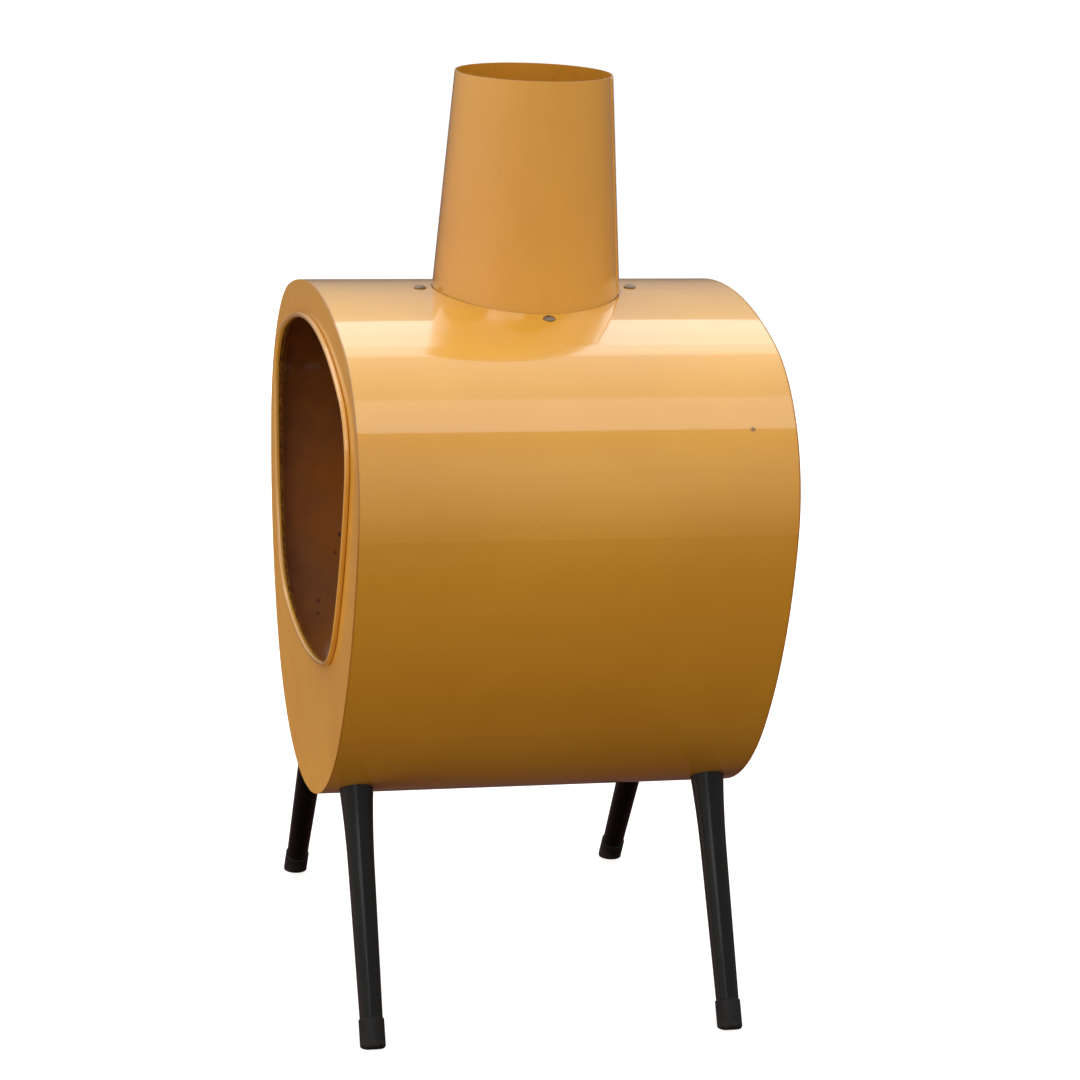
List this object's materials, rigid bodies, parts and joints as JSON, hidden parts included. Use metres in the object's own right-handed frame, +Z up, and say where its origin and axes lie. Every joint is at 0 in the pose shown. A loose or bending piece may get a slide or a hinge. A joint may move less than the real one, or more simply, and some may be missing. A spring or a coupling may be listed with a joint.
{
  "type": "chiminea",
  "caption": "Barrel chiminea: a painted sheet-steel drum lying on its side, with an offset mouth in one end, a conical chimney and splayed tapered legs with rubber caps.",
  "frame": {"origin": "on the floor, midway between the feet and under the chimney's axis", "axes": "+Z up along the chimney; +Y along the drum's axis, away from the mouth; the mouth faces -Y; +X is to the right as seen from the mouth"},
  "size_m": [0.5406, 0.4234, 0.9],
  "materials": {
    "mustard_paint": "gloss",
    "trim_paint": "gloss",
    "inner_paint": "satin",
    "screw_steel": "satin",
    "zinc_steel": "satin",
    "grate_iron": "matte",
    "black_enamel": "gloss",
    "foot_rubber": "matte"
  },
  "bodies": {
    "root": {"drum_shell": "mustard_paint", "front_plate": "mustard_paint", "back_plate": "mustard_paint", "chimney_tube": "mustard_paint", "mouth_trim_upper": "trim_paint", "mouth_trim_lower": "trim_paint", "trim_joint_clips": "trim_paint", "chimney_flange": "inner_paint", "chimney_screws": "screw_steel", "chimney_washers": "zinc_steel", "chimney_nuts": "zinc_steel", "leg_bolts": "zinc_steel", "fire_grate": "grate_iron", "leg_front_left": "black_enamel", "leg_front_right": "black_enamel", "leg_back_left": "black_enamel", "leg_back_right": "black_enamel", "leg_plug_front_left": "zinc_steel", "leg_plug_front_right": "zinc_steel", "leg_plug_back_left": "zinc_steel", "leg_plug_back_right": "zinc_steel", "leg_plate_front_left": "inner_paint", "leg_plate_front_right": "inner_paint", "leg_plate_back_left": "inner_paint", "leg_plate_back_right": "inner_paint", "foot_cap_front_left": "foot_rubber", "foot_cap_front_right": "foot_rubber", "foot_cap_back_left": "foot_rubber", "foot_cap_back_right": "foot_rubber"}
  },
  "joints": []
}
